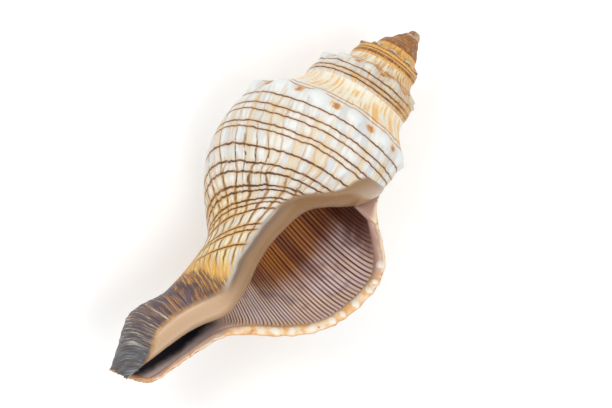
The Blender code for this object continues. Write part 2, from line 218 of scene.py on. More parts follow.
SENSOR_WIDTH = 36
FLOOR_SIZE = 6
WORLD_LIGHT = 0.83
KEY_POWER = 6.5
FILL_POWER = 6


def smooth_step(x, low, high):
    t = np.clip((np.asarray(x, float) - low) / (high - low), 0, 1)
    return t * t * (3 - 2 * t)


def smooth_curve(x, knots, values):
    """A cubic curve through the knots, level beyond its ends."""
    knots, values = np.asarray(knots, float), np.asarray(values, float)
    slopes = np.gradient(values, knots)
    x = np.clip(x, knots[0], knots[-1])
    i = np.clip(np.searchsorted(knots, x, side="right") - 1, 0, len(knots) - 2)
    width = knots[i + 1] - knots[i]
    t = (x - knots[i]) / width
    return (
        values[i] * (1 + 2 * t) * (1 - t) ** 2
        + values[i + 1] * t * t * (3 - 2 * t)
        + slopes[i] * width * t * (1 - t) ** 2
        - slopes[i + 1] * width * t * t * (1 - t)
    )


def bell(x, spread):
    return np.exp(-((x / spread) ** 2))


def radius_scale(angle):
    return RADIUS_RATIO ** (-angle / TURN)


def drop_scale(angle):
    return DROP_RATIO ** (-angle / TURN)


def neck_radius(angle, drop):
    """The radius of the neck, and of the pillar that carries on inside, through the six meridians."""
    inner = np.maximum(angle - PILLAR_ANGLE, 0)
    drop = drop / drop_scale(inner)
    meridians = np.array([smooth_curve(drop, NECK_DROPS, row) for row in NECK_RADII])
    last = len(NECK_RADII) - 1
    place = np.clip(angle / (TURN / 4), 0, last)
    i = np.clip(np.floor(place).astype(int), 0, last - 1)
    t = place - i
    near = [np.clip(i + k, 0, last)[None] for k in (-1, 0, 1, 2)]
    a, b, c, d = (np.take_along_axis(meridians, n, 0)[0] for n in near)
    curve = b + 0.5 * t * (c - a + t * (2 * a - 5 * b + 4 * c - d + t * (3 * (b - c) + d - a)))
    return curve * radius_scale(inner)


def enamel_edge(drop):
    return np.radians(smooth_curve(drop, ENAMEL_EDGE_DROPS, ENAMEL_EDGE_DEGREES))


def beside_mask(angle, drop):
    """1 on the enamel and 0 off it."""
    return smooth_step(angle - enamel_edge(drop), -ENAMEL_EDGE_WIDTH, ENAMEL_EDGE_WIDTH)


def enamel(angle, drop):
    """Thickness of the enamel beside the mouth."""
    top = smooth_step(drop, TOP_SEAM_DROP, TOP_SEAM_DROP + ENAMEL_TOP_FADE)
    return ENAMEL_THICKNESS * beside_mask(angle, drop) * top


def knob_row(angle, level):
    """How near a knob each point is, from 0 to 1, and how far it lies below the middle of the row."""
    degrees = np.degrees(angle)
    crest = 0.5 + 0.5 * np.cos(TURN * np.interp(degrees, KNOB_DEGREES, KNOB_COUNTS))
    return crest, level - np.interp(degrees, KNOB_LEVEL_DEGREES, KNOB_LEVELS)


def outer_radius(angle, drop, knobs=True):
    """The outside of the shell. The neck fills in where the whorl above it has closed."""
    angle, drop = np.broadcast_arrays(np.asarray(angle, float), np.asarray(drop, float))
    size = radius_scale(angle)
    level = drop / drop_scale(angle)
    profile = smooth_curve(level, WHORL_DROPS, WHORL_RADII)
    worn = WORN_SPIRE_SHARE * smooth_step(angle, *WORN_SPIRE_ANGLES)
    cone = np.interp(level, [TOP_SEAM_DROP, LOW_SEAM_DROP], [TOP_SEAM_RADIUS, LOW_SEAM_RADIUS])
    lip = np.exp(-np.abs(angle / FLARE_ANGLE) ** FLARE_POWER)
    reach = smooth_step(level, *FLARE_TOP) * (1 - smooth_step(level, *FLARE_BOTTOM))
    whorl = size * (profile + (cone - profile) * worn) * (1 + FLARE * reach * lip)
    if knobs:
        crest, below = knob_row(angle, level)
        height = KNOB_HEIGHT * size * (1 - worn) * (1 - KNOB_LOSS_AT_LIP * lip)
        whorl = whorl + height * crest**KNOB_SHARPNESS * bell(below, KNOB_SPREAD)
    neck = neck_radius(angle, drop) - NECK_FADE_DEPTH * (1 - smooth_step(drop, *NECK_FADE))
    closeness = np.maximum(NECK_BLEND - np.abs(whorl - neck), 0) / NECK_BLEND
    return np.maximum(whorl, neck) + NECK_BLEND / 4 * closeness**2 + enamel(angle, drop)


def wall_thickness(angle, drop):
    lip = smooth_curve(drop, LIP_DROPS, LIP_THICKNESSES)
    canal = smooth_step(drop, *CANAL_WALL_DROPS)
    inside = WALL_THICKNESS * radius_scale(angle) * (1 - canal) + CANAL_WALL_THICKNESS * canal
    deep = smooth_step(angle, 0, LIP_TO_WALL_ANGLE)
    return lip * (1 - deep) + inside * deep


def end_drop(angle):
    """The end of the canal, from the lip's corner round to the tip and back to the pillar."""
    rise = LIP_END_DROP + (TIP_DROP - LIP_END_DROP) * np.sin(np.clip(angle, 0, TURN / 2) / 2)
    back = COLUMELLA_END_DROP - TIP_DROP
    rise = rise + back * smooth_step(angle, 0.75 * TURN, TURN)
    inner_end = LIP_END_DROP + (TIP_DROP - LIP_END_DROP) * math.sin(CANAL_END_ANGLE / 2)
    inner = smooth_step(angle - TURN, 0, CANAL_END_ANGLE)
    return rise * (1 - inner) + inner_end * inner


def hollow_section(angle):
    """(drops, outer radii, inner radii) of the hollow at this angle back from the lip, on close points."""
    drop = np.linspace(TOP_SEAM_DROP * drop_scale(angle), float(end_drop(angle)) + 3, DENSE)
    outside = outer_radius(angle, drop, knobs=False)
    slope = np.gradient(outside, drop)
    length = np.sqrt(1 + slope**2)
    wall = wall_thickness(angle, drop)
    inset_drop = drop + wall * slope / length
    inset_radius = outside - wall / length
    order = np.argsort(inset_drop)
    outer = np.interp(drop, inset_drop[order], inset_radius[order])
    inner = outer_radius(TURN + angle, drop)
    floor = smooth_curve(math.degrees(angle), FLOOR_DEGREES, FLOOR_DROPS)
    share = np.clip(1 + (drop - floor) / FLOOR_ROUND, 0, 1) ** 2
    inner = inner + (outer - inner) * share
    return drop, outer, np.where(drop >= floor, outer, inner)


def mouth_range(angle, drop, gap):
    """The top and bottom drop of the hollow's section, where its two sides meet."""
    middle = int(np.argmax(np.where(drop < WHORL_MIDDLE_DROP * drop_scale(angle), gap, -1)))
    top = middle
    while top > 0 and gap[top - 1] > 0:
        top -= 1
    low = middle
    while low < len(drop) - 1 and gap[low + 1] > 0:
        low += 1
    top_drop = drop[0] if top == 0 else np.interp(0, [gap[top - 1], gap[top]], [drop[top - 1], drop[top]])
    if low == len(drop) - 1:
        return top_drop, drop[-1]
    return top_drop, np.interp(0, [-gap[low], -gap[low + 1]], [drop[low], drop[low + 1]])


def spaced(drop, radius, first, last, count):
    """count + 1 drops from first to last, evenly spaced along the curve of radius over drop."""
    fine = np.linspace(first, last, DENSE)
    along = np.interp(fine, drop, radius)
    length = np.concatenate([[0], np.cumsum(np.hypot(np.diff(fine), np.diff(along)))])
    return np.interp(np.linspace(0, length[-1], count + 1), length, fine)


def lip_scallop(drop):
    """The waves of the lip's edge, from -1 to 1, by drop. They come a little unevenly."""
    along = np.asarray(drop, float) / SCALLOP_LENGTH
    return np.sin(TURN * along + 1.1 * np.sin(2.3 * along)) * 0.7 + 0.3 * np.sin(TURN * 1.7 * along + 2)


def ragged(angle):
    """A broken edge, from -1 to 1."""
    return (np.sin(7 * angle + 0.4) + np.sin(17 * angle + 2) + 0.8 * np.sin(41 * angle)) / 2.8


def worn_end(angle):
    return end_drop(angle) + RAGGED_END * ragged(angle) * np.minimum(angle, 1)


def outside(angle, drop):
    """The finished outside: the form with the lip's waves, the canal's growth ridges and the knobs' beads."""
    wave = SCALLOP_HEIGHT * lip_scallop(drop) * bell(angle, SCALLOP_ANGLE)
    wave = wave * smooth_step(drop, *LIP_ROUND_DROPS)
    arc = RIDGE_ARC * np.sqrt((angle / TURN - 0.5) ** 2 + RIDGE_ROUND)
    ridge_at = drop - arc * np.interp(drop, RIDGE_SLOPE_DROPS, RIDGE_SLOPES)
    ridge = LAMELLA_HEIGHT * np.sin(TURN * ridge_at / LAMELLA_SPACING + 1.3 * np.sin(0.9 * ridge_at))
    ridge = ridge * smooth_step(drop, *LAMELLA_DROPS) * smooth_step(angle, *LAMELLA_START)
    ridge = ridge * (1 - beside_mask(angle, drop))
    crest, below = knob_row(angle, drop / drop_scale(angle))
    bead = crest**BEAD_SHARPNESS * bell(below, BEAD_SPREAD)
    bead = bead * (BEAD_HEIGHT + OLD_BEAD_GAIN * smooth_step(angle, *OLD_BEAD_ANGLES)) * radius_scale(angle)
    bead = bead * smooth_step(angle, *BEAD_START) * (1 - smooth_step(angle, *BEAD_END))
    return outer_radius(angle, drop) + wave + ridge + bead


def place_points(angle, drop, radius):
    """Points of the shell in its own millimetres: +X to the lip, +Y to the apex, +Z out of the mouth."""
    angle, drop, radius = np.broadcast_arrays(angle, drop, radius)
    shift = smooth_curve(drop, AXIS_DROPS, AXIS_SHIFTS)
    return np.stack([radius * np.cos(angle) + shift, -drop, -radius * np.sin(angle)], axis=-1)


def stack_marks(*columns):
    """The six numbers of each point, side by side. A single number holds for all the points."""
    return np.stack(np.broadcast_arrays(*columns), axis=-1)


def outside_marks(angle, drop, radius):
    """What the finishes read: turn, level, drop, millimetres past the enamel's edge, and the knobs."""
    level = drop / drop_scale(angle)
    beside = np.clip((angle - enamel_edge(drop)) * radius, *BESIDE_LIMITS)
    older = (angle > TURN + 0.001) & (drop < MOUTH_TOP_DROP)
    beside = np.where(older | (drop < TOP_SEAM_DROP + 0.5), BESIDE_LIMITS[0], beside)
    crest, below = knob_row(angle, level)
    row = bell(below, KNOB_SPREAD)
    return stack_marks(angle / TURN, level / 100, drop / 100, beside / 10, crest * row, (1 - crest) * row)


def to_shelf(points):
    """Shell millimetres to metres as the shell lies."""
    turned = points.reshape(-1, 3) @ np.array(LIE.to_3x3()).T - np.array(LIE_MIDDLE)
    turned[:, 2] = np.maximum(turned[:, 2], 0)
    return turned * MM


def write_marks(data, marks):
    corners = np.empty(len(data.loops), int)
    data.loops.foreach_get("vertex_index", corners)
    marks = marks.reshape(-1, 6)[corners].astype(np.float32)
    for n, title in enumerate(MARKS):
        layer = data.uv_layers.new(name=title)
        layer.data.foreach_set("uv", marks[:, 2 * n : 2 * n + 2].ravel())


def lay_sheet(name, points, marks, finish):
    """A flat grid, drawn out to the points given for its columns and rows."""
    columns, rows = points.shape[:2]
    bpy.ops.mesh.primitive_grid_add(x_subdivisions=rows - 1, y_subdivisions=columns - 1, calc_uvs=False)
    sheet = bpy.context.object
    sheet.name = name
    sheet.data.vertices.foreach_set("co", to_shelf(points).astype(np.float32).ravel())
    write_marks(sheet.data, marks)
    sheet.data.materials.append(finish)
    return sheet


def sew(name, first, second, finish, along=None):
    """A strip of triangles between two edges of points and marks, matched by drop or by how far along."""
    (first, first_marks), (second, second_marks) = first, second
    first_at, second_at = along or (-first[:, 1], -second[:, 1])
    faces = []
    i = j = 0
    while i < len(first) - 1 or j < len(second) - 1:
        first_left, second_left = i < len(first) - 1, j < len(second) - 1
        if not second_left or (first_left and first_at[i + 1] <= second_at[j + 1]):
            faces.append((i, i + 1, len(first) + j))
            i += 1
        else:
            faces.append((i, len(first) + j + 1, len(first) + j))
            j += 1
    data = bpy.data.meshes.new(name)
    data.from_pydata(to_shelf(np.concatenate([first, second])).tolist(), [], faces)
    write_marks(data, np.concatenate([first_marks, second_marks]))
    data.materials.append(finish)
    strip = bpy.data.objects.new(name, data)
    bpy.context.scene.collection.objects.link(strip)
    return strip


def outside_sheets(finish):
    """The whorls from the lip to the apex, and the wall and neck below the last seam."""
    levels = spaced(WHORL_DROPS, WHORL_RADII, TOP_SEAM_DROP, LOW_SEAM_DROP, SEAM_ROWS)
    angle = (np.arange(COLUMNS_PER_TURN * WHORLS + 1) * TURN / COLUMNS_PER_TURN)[:, None]
    drop = levels[None] * drop_scale(angle)
    radius = outside(angle, drop)
    points = place_points(angle, drop, radius)
    points[COLUMNS_PER_TURN:, -1] = points[:-COLUMNS_PER_TURN, 0]
    marks = outside_marks(angle, drop, radius)
    whorls = lay_sheet("whorls", points, marks, finish)

    # The apex is a small dome over the end of the last column and the last turn of the seam
    tip_ring = np.concatenate([points[-COLUMNS_PER_TURN - 1 :, 0], points[-1, 1:-1]])
    ring_marks = np.concatenate([marks[-COLUMNS_PER_TURN - 1 :, 0], marks[-1, 1:-1]])
    around = np.arange(len(tip_ring) + 1) % len(tip_ring)
    rise = np.linspace(0, TURN / 4, DOME_ROWS + 1)[None, :, None]
    middle = tip_ring.mean(axis=0)
    top = np.array([0, APEX_HEIGHT, 0])
    dome = middle + (tip_ring[around][:, None] - middle) * np.cos(rise) ** DOME_ROUND[0]
    dome = dome + np.sin(rise) ** DOME_ROUND[1] * top
    dome[:, -1] = middle + top
    cap = lay_sheet("apex", dome, np.broadcast_to(ring_marks[around][:, None], dome.shape[:2] + (6,)), finish)

    # The wall that the mouth opens beside, and the neck down to the end of the canal
    mouth_level = MOUTH_TOP_DROP / drop_scale(TURN)
    angle = angle[: COLUMNS_PER_TURN + 1]
    drops = []
    for at in angle[:, 0]:
        wall = np.linspace(LOW_SEAM_DROP, mouth_level, WALL_ROWS + 1) * drop_scale(at)
        fine = np.linspace(wall[-1], worn_end(at), DENSE)
        neck = spaced(fine, outer_radius(at, fine), fine[0], fine[-1], NECK_ROWS)[1:]
        drops.append(np.concatenate([wall, neck]))
    drop = np.array(drops)
    radius = outside(angle, drop)
    body = place_points(angle, drop, radius)
    body[:, 0] = points[: COLUMNS_PER_TURN + 1, -1]
    body_marks = outside_marks(angle, drop, radius)
    last = lay_sheet("last_whorl", body, body_marks, finish)
    return [whorls, cap, last], np.concatenate([points[0], body[0, 1:]]), body, body_marks


def lip_slope(fine):
    """How steeply the outside widens at the lip, on close drops."""
    return np.gradient(outer_radius(0.0, fine, knobs=False), fine)


def count_along(fine, spacing):
    """How many spacings lie along the lip above each of these close drops."""
    return np.concatenate([[0], np.cumsum(np.hypot(1, lip_slope(fine))[1:] * np.diff(fine) / spacing[1:])])


def rib_count(level):
    """How many of the mouth's ribs lie above this level."""
    fine = np.linspace(TOP_SEAM_DROP, TIP_DROP, DENSE)
    return np.interp(level, fine, count_along(fine, np.interp(fine, RIB_SPACING_DROPS, RIB_SPACINGS)))


def lining_levels():
    """Levels of the lining's rows, close together where the ribs run and wider in the canal."""
    fine = np.linspace(TOP_SEAM_DROP, LIP_END_DROP, 4 * DENSE)
    rows = count_along(fine, np.interp(fine, RIB_END_LEVELS, (LINING_STEP, LINING_CANAL_STEP)))
    return np.interp(np.linspace(0, rows[-1], int(rows[-1]) + 1), rows, fine)


def lining_drop(level, angle):
    """The drop of a level inside. In the canal the levels keep to its length."""
    size = drop_scale(angle)
    start = size * LINING_CANAL_LEVEL
    length = worn_end(min(angle, CANAL_END_ANGLE)) - start
    past = (level - LINING_CANAL_LEVEL) * length / (LIP_END_DROP - LINING_CANAL_LEVEL)
    return np.where(level < LINING_CANAL_LEVEL, size * level, start + past)


def ring_row(angle, drops, radii, top_point, low_point, top, low):
    """Points at the drops given. Those past the hollow's top or bottom are gathered at its end."""
    row = place_points(angle, drops, radii)
    row[drops <= top + SMALLEST_STEP] = top_point
    row[drops >= low - SMALLEST_STEP] = low_point
    row[0], row[-1] = top_point, low_point
    return row


def lining_sheets(lining, enamelled, body):
    """The hollow's outer side, which is ribbed, and the pillar that is its inner side."""
    levels = lining_levels()
    ribs = rib_count(levels)
    rib_crest = (0.5 + 0.5 * np.cos(TURN * ribs)) ** RIB_SHARPNESS
    outer_rows, outer_marks, inner_rows, inner_marks = [], [], [], []
    for degrees in RING_DEGREES:
        angle = math.radians(degrees)
        at = max(angle, LIP_BEVEL_ANGLE)
        drop, outer, inner = hollow_section(angle)
        top, low = mouth_range(angle, drop, outer - inner)
        if degrees <= CANAL_END_DEGREES:
            low = worn_end(angle)
        if degrees == 0:
            top, top_point = MOUTH_TOP_DROP, body[-1, WALL_ROWS]
        else:
            top_point = place_points(angle, top, np.interp(top, drop, inner))
        low_point = place_points(at, low, np.interp(low, drop, outer))
        rows = lining_drop(levels, angle)
        radii = np.interp(rows, drop, outer)
        slope = np.interp(rows, drop, np.gradient(outer, drop))
        length = np.hypot(1, slope)
        inside = at * radii
        height = RIB_HEIGHT * rib_crest * (0.8 + 0.2 * np.cos(TURN / 2 * ribs))
        height = height * smooth_step(inside, *RIB_START) * (1 - smooth_step(levels, *RIB_END_LEVELS))
        height = height * smooth_step(rows, top, top + RIB_FADE)
        height = height * (1 - smooth_step(rows, low - RIB_FADE, low))
        raised, narrowed = rows + height * slope / length, radii - height / length
        outer_rows.append(ring_row(at, raised, narrowed, top_point, low_point, top, low))
        outer_marks.append(stack_marks(at / TURN, levels / 100, rows / 100, inside / 10, ribs / 100, 0))
        if degrees == 0:
            continue
        if degrees < CANAL_END_DEGREES:
            low = worn_end(TURN + angle)
            low_point = place_points(angle, low, np.interp(low, drop, inner))
        rows = spaced(drop, inner, top, low, PILLAR_ROWS)
        radii = np.interp(rows, drop, inner)
        inner_rows.append(ring_row(angle, rows, radii, top_point, low_point, top, low))
        past = np.clip((TURN + angle - enamel_edge(rows)) * radii, 5, BESIDE_LIMITS[1])
        inner_marks.append(stack_marks(1 + angle / TURN, rows / 100, rows / 100, past / 10, 0, 0))
    outer_rows, outer_marks = np.array(outer_rows), np.array(outer_marks)
    inner_rows, inner_marks = np.array(inner_rows), np.array(inner_marks)
    end_marks = outer_marks[-1][np.linspace(0, len(levels) - 1, PILLAR_ROWS + 1).astype(int)]
    sheets = [
        lay_sheet("mouth_lining", outer_rows, outer_marks, lining),
        lay_sheet("pillar", inner_rows, inner_marks, enamelled),
        sew("deep_end", (outer_rows[-1], outer_marks[-1]), (inner_rows[-1], end_marks), lining),
    ]
    return sheets, outer_rows, inner_rows, inner_marks


def lip_marks(drop, across):
    """What the lip's finish reads: drop, share of the way across the edge, and its waves."""
    return stack_marks(0, 0, drop / 100, across, lip_scallop(drop), 0)


def lip_sheets(finish, lip, body, outer_rows):
    """The rounded edge of the lip, between the outside and the lining."""
    inner_edge = np.concatenate([body[-1, :WALL_ROWS], outer_rows[0]])
    inner_drop = -inner_edge[:, 1]
    fine = np.linspace(TOP_SEAM_DROP, LIP_END_DROP + 4, DENSE)
    slope = lip_slope(fine)
    inset = fine + wall_thickness(0.0, fine) * slope / np.hypot(1, slope)
    order = np.argsort(inset)
    square = np.interp(inner_drop, inset[order], fine[order])
    keep = smooth_step(inner_drop, *LIP_SQUARE_TOP) * (1 - smooth_step(inner_drop, *LIP_SQUARE_END))
    outer_drop = np.maximum.accumulate(inner_drop + (square - inner_drop) * keep)
    outer_drop = np.minimum(outer_drop, LIP_END_DROP)
    outer_edge = place_points(0.0, outer_drop, outside(0.0, outer_drop))
    thickness = np.linalg.norm(outer_edge - inner_edge, axis=1)
    full = LIP_ROUND * np.minimum(thickness / max(LIP_THICKNESSES), 1)
    full = full * smooth_step(inner_drop, *LIP_ROUND_DROPS) * (1 + LIP_ROUND_WAVE * lip_scallop(outer_drop))
    turn = np.pi * np.arange(1, RIM_ROWS + 1) / RIM_ROWS
    share = ((1 - np.cos(turn)) / 2)[None, :, None]
    rim = outer_edge[:, None] * (1 - share) + inner_edge[:, None] * share
    rim[..., 2] += full[:, None] * np.sin(turn)[None]
    rim[:, -1] = inner_edge
    marks = lip_marks(outer_drop[:, None], share[..., 0])
    lip_drop = -lip[:, 1]
    outer, inner = (lip, lip_marks(lip_drop, 0)), (rim[:, 0], marks[:, 0])
    sheets = [
        lay_sheet("lip_edge", rim, marks, finish),
        sew("lip_join", outer, inner, finish, (lip_drop, outer_drop)),
    ]
    return sheets, rim


def make_shell(whorl_finish, mouth_finish, rim_finish):
    """All the sheets and strips, joined to one closed piece."""
    sheets, lip, body, body_marks = outside_sheets(whorl_finish)
    lined, outer_rows, inner_rows, inner_marks = lining_sheets(mouth_finish, whorl_finish, body)
    edges, rim = lip_sheets(rim_finish, lip, body, outer_rows)
    column = body[-1, WALL_ROWS:], body_marks[-1, WALL_ROWS:]
    fold = sew("pillar_join", column, (inner_rows[0], inner_marks[0]), whorl_finish)
    shut = RING_DEGREES.index(CANAL_END_DEGREES)
    end_outside, end_marks = body[:, -1], body_marks[:, -1]
    end_inside = np.concatenate([rim[-1], outer_rows[1 : shut + 1, -1], inner_rows[shut - 1 :: -1, -1]])
    inside_marks = end_marks[np.linspace(0, len(end_marks) - 1, len(end_inside)).astype(int)]
    along = np.linspace(0, 1, len(end_outside)), np.linspace(0, 1, len(end_inside))
    end = sew("canal_end", (end_outside, end_marks), (end_inside, inside_marks), rim_finish, along)
    sheets += lined + edges + [fold, end]
    bpy.ops.object.select_all(action="DESELECT")
    for sheet in sheets:
        sheet.select_set(True)
    bpy.context.view_layer.objects.active = sheets[0]
    bpy.ops.object.join()
    shell = bpy.context.object
    shell.name = "conch"
    bpy.ops.object.mode_set(mode="EDIT")
    bpy.ops.mesh.select_all(action="SELECT")
    bpy.ops.mesh.remove_doubles(threshold=MERGE_DISTANCE * MM)
    bpy.ops.mesh.normals_make_consistent(inside=False)
    bpy.ops.object.mode_set(mode="OBJECT")
    bpy.ops.object.shade_smooth()
    return shell


def paint(red, green, blue):
    """A colour as the eye names it, from 0 to 255, for the shader."""
    shares = [c / 255 for c in (red, green, blue)]
    return tuple(c / 12.92 if c < 0.04045 else ((c + 0.055) / 1.055) ** 2.4 for c in shares) + (1.0,)


WHITE = paint(217, 220, 217)
COOL_WHITE = paint(198, 203, 205)
BEIGE = paint(207, 193, 166)
GREY_BAR = paint(194, 190, 182)
CREAM = paint(236, 225, 192)
TAN_STREAK = paint(204, 172, 128)
GOLD = paint(200, 148, 62)
PALE_GOLD = paint(230, 204, 122)
NECK_PALE = paint(218, 210, 178)
AMBER = paint(170, 104, 34)
LINE_BROWN = paint(106, 60, 20)
LINE_DARK = paint(62, 33, 12)
VEIN_BROWN = paint(150, 98, 48)
DARK_BAND = paint(74, 56, 52)
FLAME = paint(226, 172, 90)
WARM_GOLD = paint(224, 170, 76)
OLIVE_TAN = paint(206, 186, 152)
TIP_GREY = paint(92, 100, 104)
TIP_PALE = paint(166, 174, 174)
CANAL_BROWN = paint(126, 98, 86)
CANAL_PLUM = paint(98, 78, 86)
CANAL_ORANGE = paint(190, 120, 58)
SPIRE_BROWN = paint(104, 62, 36)
SPIRE_GOLD = paint(190, 132, 62)
WORN_TIP = paint(196, 190, 182)
ENAMEL_TAN = paint(141, 107, 70)
ENAMEL_DEEP = paint(150, 98, 62)
ENAMEL_PALE = paint(160, 127, 92)
ENAMEL_MARGIN = paint(182, 184, 178)
ENAMEL_PEACH = paint(198, 164, 130)
ENAMEL_LINE = paint(104, 86, 74)
LINING_LILAC = paint(250, 228, 224)
LINING_PINK = paint(254, 226, 206)
LINING_BROWN = paint(206, 124, 34)
LINING_DEEP_BROWN_AND_SHADE = paint(138, 72, 20)
LINING_PURPLE = paint(140, 104, 116)
LINING_TOP = paint(82, 24, 2)
RIB_BROWN = paint(88, 31, 13)
# Painted shade: the near-black of the canal's slit, inside it and on the enamel beside it
CANAL_SLIT_SHADE = paint(34, 34, 44)
CANAL_MAUVE = paint(204, 182, 176)
CANAL_RIM = paint(160, 134, 124)
LIP_TAN = paint(216, 168, 112)
LIP_WHITE = paint(224, 219, 207)
LIP_BROWN = paint(190, 124, 66)
# Painted shade at the mouth's top corner
LIP_MAUVE_SHADE = paint(160, 126, 116)
LIP_CREAM = paint(224, 203, 172)

# Brown lines that run round the whorls: level, and half width in millimetres
SPIRAL_LINES = [
    (54.8, 0.28), (57.0, 0.28), (65.5, 0.3), (71.0, 0.3), (74.5, 0.28), (80.0, 0.3),
    (82.7, 0.28), (89.5, 0.32), (95.2, 0.3), (98.2, 0.28), (102.3, 0.32), (104.0, 0.28),
    (107.3, 0.32), (109.2, 0.3), (112.6, 0.42), (122.0, 0.46), (125.7, 0.44), (135.2, 0.46),
]

# Brown lines along the growth: how many in a turn, how far they lean for each millimetre of drop, and how
# that lean grows down the neck
VEINS_PER_TURN = 36
NECK_VEINS_PER_TURN = 20
VEIN_LEAN = 0.0020
NECK_LEAN = 0.00053

COAT_ROUGHNESS = 0.2


class Finish:
    """The nodes of one of the shell's finishes, and the colour that is laid on so far.

    What feeds a node is a number, a colour, another node's output, or a pair, which stands for its product.
    """

    def __init__(self, name):
        self.material = bpy.data.materials.new(name)
        self.material.use_nodes = True
        self.tree = self.material.node_tree
        self.surface = self.tree.nodes["Principled BSDF"]
        self.colour = None

        # The place in the shell's own space, in millimetres
        space = self.node("ShaderNodeVectorMath", operation="SCALE")
        self.feed(space.inputs[0], self.node("ShaderNodeTexCoord").outputs["Object"])
        self.feed(space.inputs["Scale"], 1 / MM)
        self.space = space.outputs[0]

    def feed(self, socket, value):
        if isinstance(value, tuple) and len(value) == 2:
            value = self.times(*value)
        if isinstance(value, bpy.types.NodeSocket):
            self.tree.links.new(value, socket)
        else:
            socket.default_value = value

    def node(self, kind, values=(), **settings):
        """A node with these settings, its inputs fed in order."""
        made = self.tree.nodes.new(kind)
        for key, value in settings.items():
            setattr(made, key, value)
        for socket, value in zip(made.inputs, values):
            self.feed(socket, value)
        return made

    def sum(self, operation, *values):
        return self.node("ShaderNodeMath", values, operation=operation).outputs[0]

    def add(self, *values):
        return reduce(lambda total, value: self.sum("ADD", total, value), values)

    def times(self, *values):
        return reduce(lambda total, value: self.sum("MULTIPLY", total, value), values)

    def less(self, first, second):
        return self.sum("SUBTRACT", first, second)

    def sway(self, value, by):
        """A share from 0 to 1, turned to a shift that is half of this size either way."""
        return self.times(self.less(value, 0.5), by)

    def step(self, value, low, high):
        """0 below low and 1 above high. With low over high it falls."""
        ends = (high, low, 1, 0) if low > high else (low, high, 0, 1)
        return self.node("ShaderNodeMapRange", (value, *ends), interpolation_type="SMOOTHSTEP").outputs[0]

    def band(self, value, start, full, last, end):
        return self.times(self.step(value, start, full), self.step(value, end, last))

    def blend(self, share, under, over, way="MIX"):
        made = self.node("ShaderNodeMix", (share,), data_type="RGBA", blend_type=way)
        self.feed(made.inputs[6], under)
        self.feed(made.inputs[7], over)
        return made.outputs[2]

    def lay(self, over, *shares, way="MIX"):
        """Lays a colour over what is there, as far as all the shares allow."""
        self.colour = self.blend(self.times(*shares), self.colour, over, way)

    def mark(self, title, *scales):
        """The numbers that the mesh carries under this title, each times its scale."""
        where = self.node("ShaderNodeUVMap", uv_map=title).outputs[0]
        parts = self.node("ShaderNodeSeparateXYZ", (where,)).outputs
        return [self.times(part, scale) for part, scale in zip(parts, scales)]

    def grain(self, scale, detail, roughness=0.5, where=None):
        """Noise from 0 to 1, by the shell's own space or by the place given."""
        made = self.node("ShaderNodeTexNoise")
        given = {"Vector": where or self.space, "Scale": scale, "Detail": detail, "Roughness": roughness}
        for title, value in given.items():
            self.feed(made.inputs[title], value)
        return made.outputs["Fac"]

    def streaks(self, x, y, z, detail, roughness=0.5):
        """Grain drawn out along x or y. Another z gives other grain."""
        where = self.node("ShaderNodeCombineXYZ", (x, y, z)).outputs[0]
        return self.grain(1.0, detail, roughness, where)

    def relief(self, height, distance, strength):
        made = self.node("ShaderNodeBump", (strength, distance * MM))
        self.feed(made.inputs["Height"], height)
        return made.outputs[0]

    def done(self, roughness, normal, coat):
        given = {"Base Color": self.colour, "Roughness": roughness, "Normal": normal, "Coat Weight": coat}
        given["Coat Roughness"] = COAT_ROUGHNESS
        for title, value in given.items():
            self.feed(self.surface.inputs[title], value)
        return self.material


